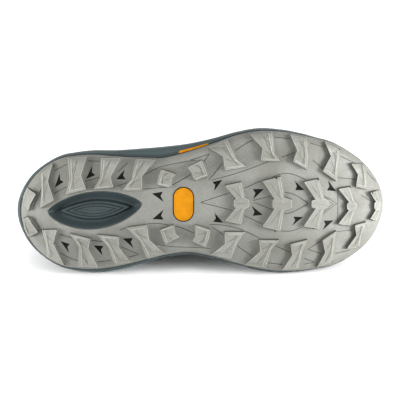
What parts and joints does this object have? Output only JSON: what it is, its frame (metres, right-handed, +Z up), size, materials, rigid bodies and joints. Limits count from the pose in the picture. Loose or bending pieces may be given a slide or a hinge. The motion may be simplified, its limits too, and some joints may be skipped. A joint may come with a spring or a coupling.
{
  "type": "trail running shoe",
  "caption": "Right trail running shoe on its side: lugged rubber tread with an eye-shaped heel window, thick foam midsole, hollow laced upper, tongue and insole.",
  "frame": {"origin": "centre of the bounding box's bottom face, on the floor that the shoe lies on", "axes": "+X from the heel to the toe, +Z up from the floor, which is towards the lateral side of the shoe, and -Y the side that the tread faces"},
  "size_m": [0.3014, 0.1384, 0.1149],
  "materials": {
    "tread_rubber": "matt grey rubber",
    "midsole_foam": "matt foam skin",
    "upper_mesh": "fine knitted mesh",
    "overlay_film": "satin film",
    "insole_cloth": "brushed cloth",
    "amber_rubber": "satin rubber",
    "lace_cord": "braided cord"
  },
  "bodies": {
    "root": {"outsole": "tread_rubber", "midsole": "midsole_foam", "upper": "upper_mesh", "tongue": "upper_mesh", "insole": "insole_cloth", "amber_inlay": "amber_rubber", "heel_counter": "overlay_film", "toe_cap": "overlay_film", "eyestay": "overlay_film", "laces": "lace_cord"}
  },
  "joints": []
}
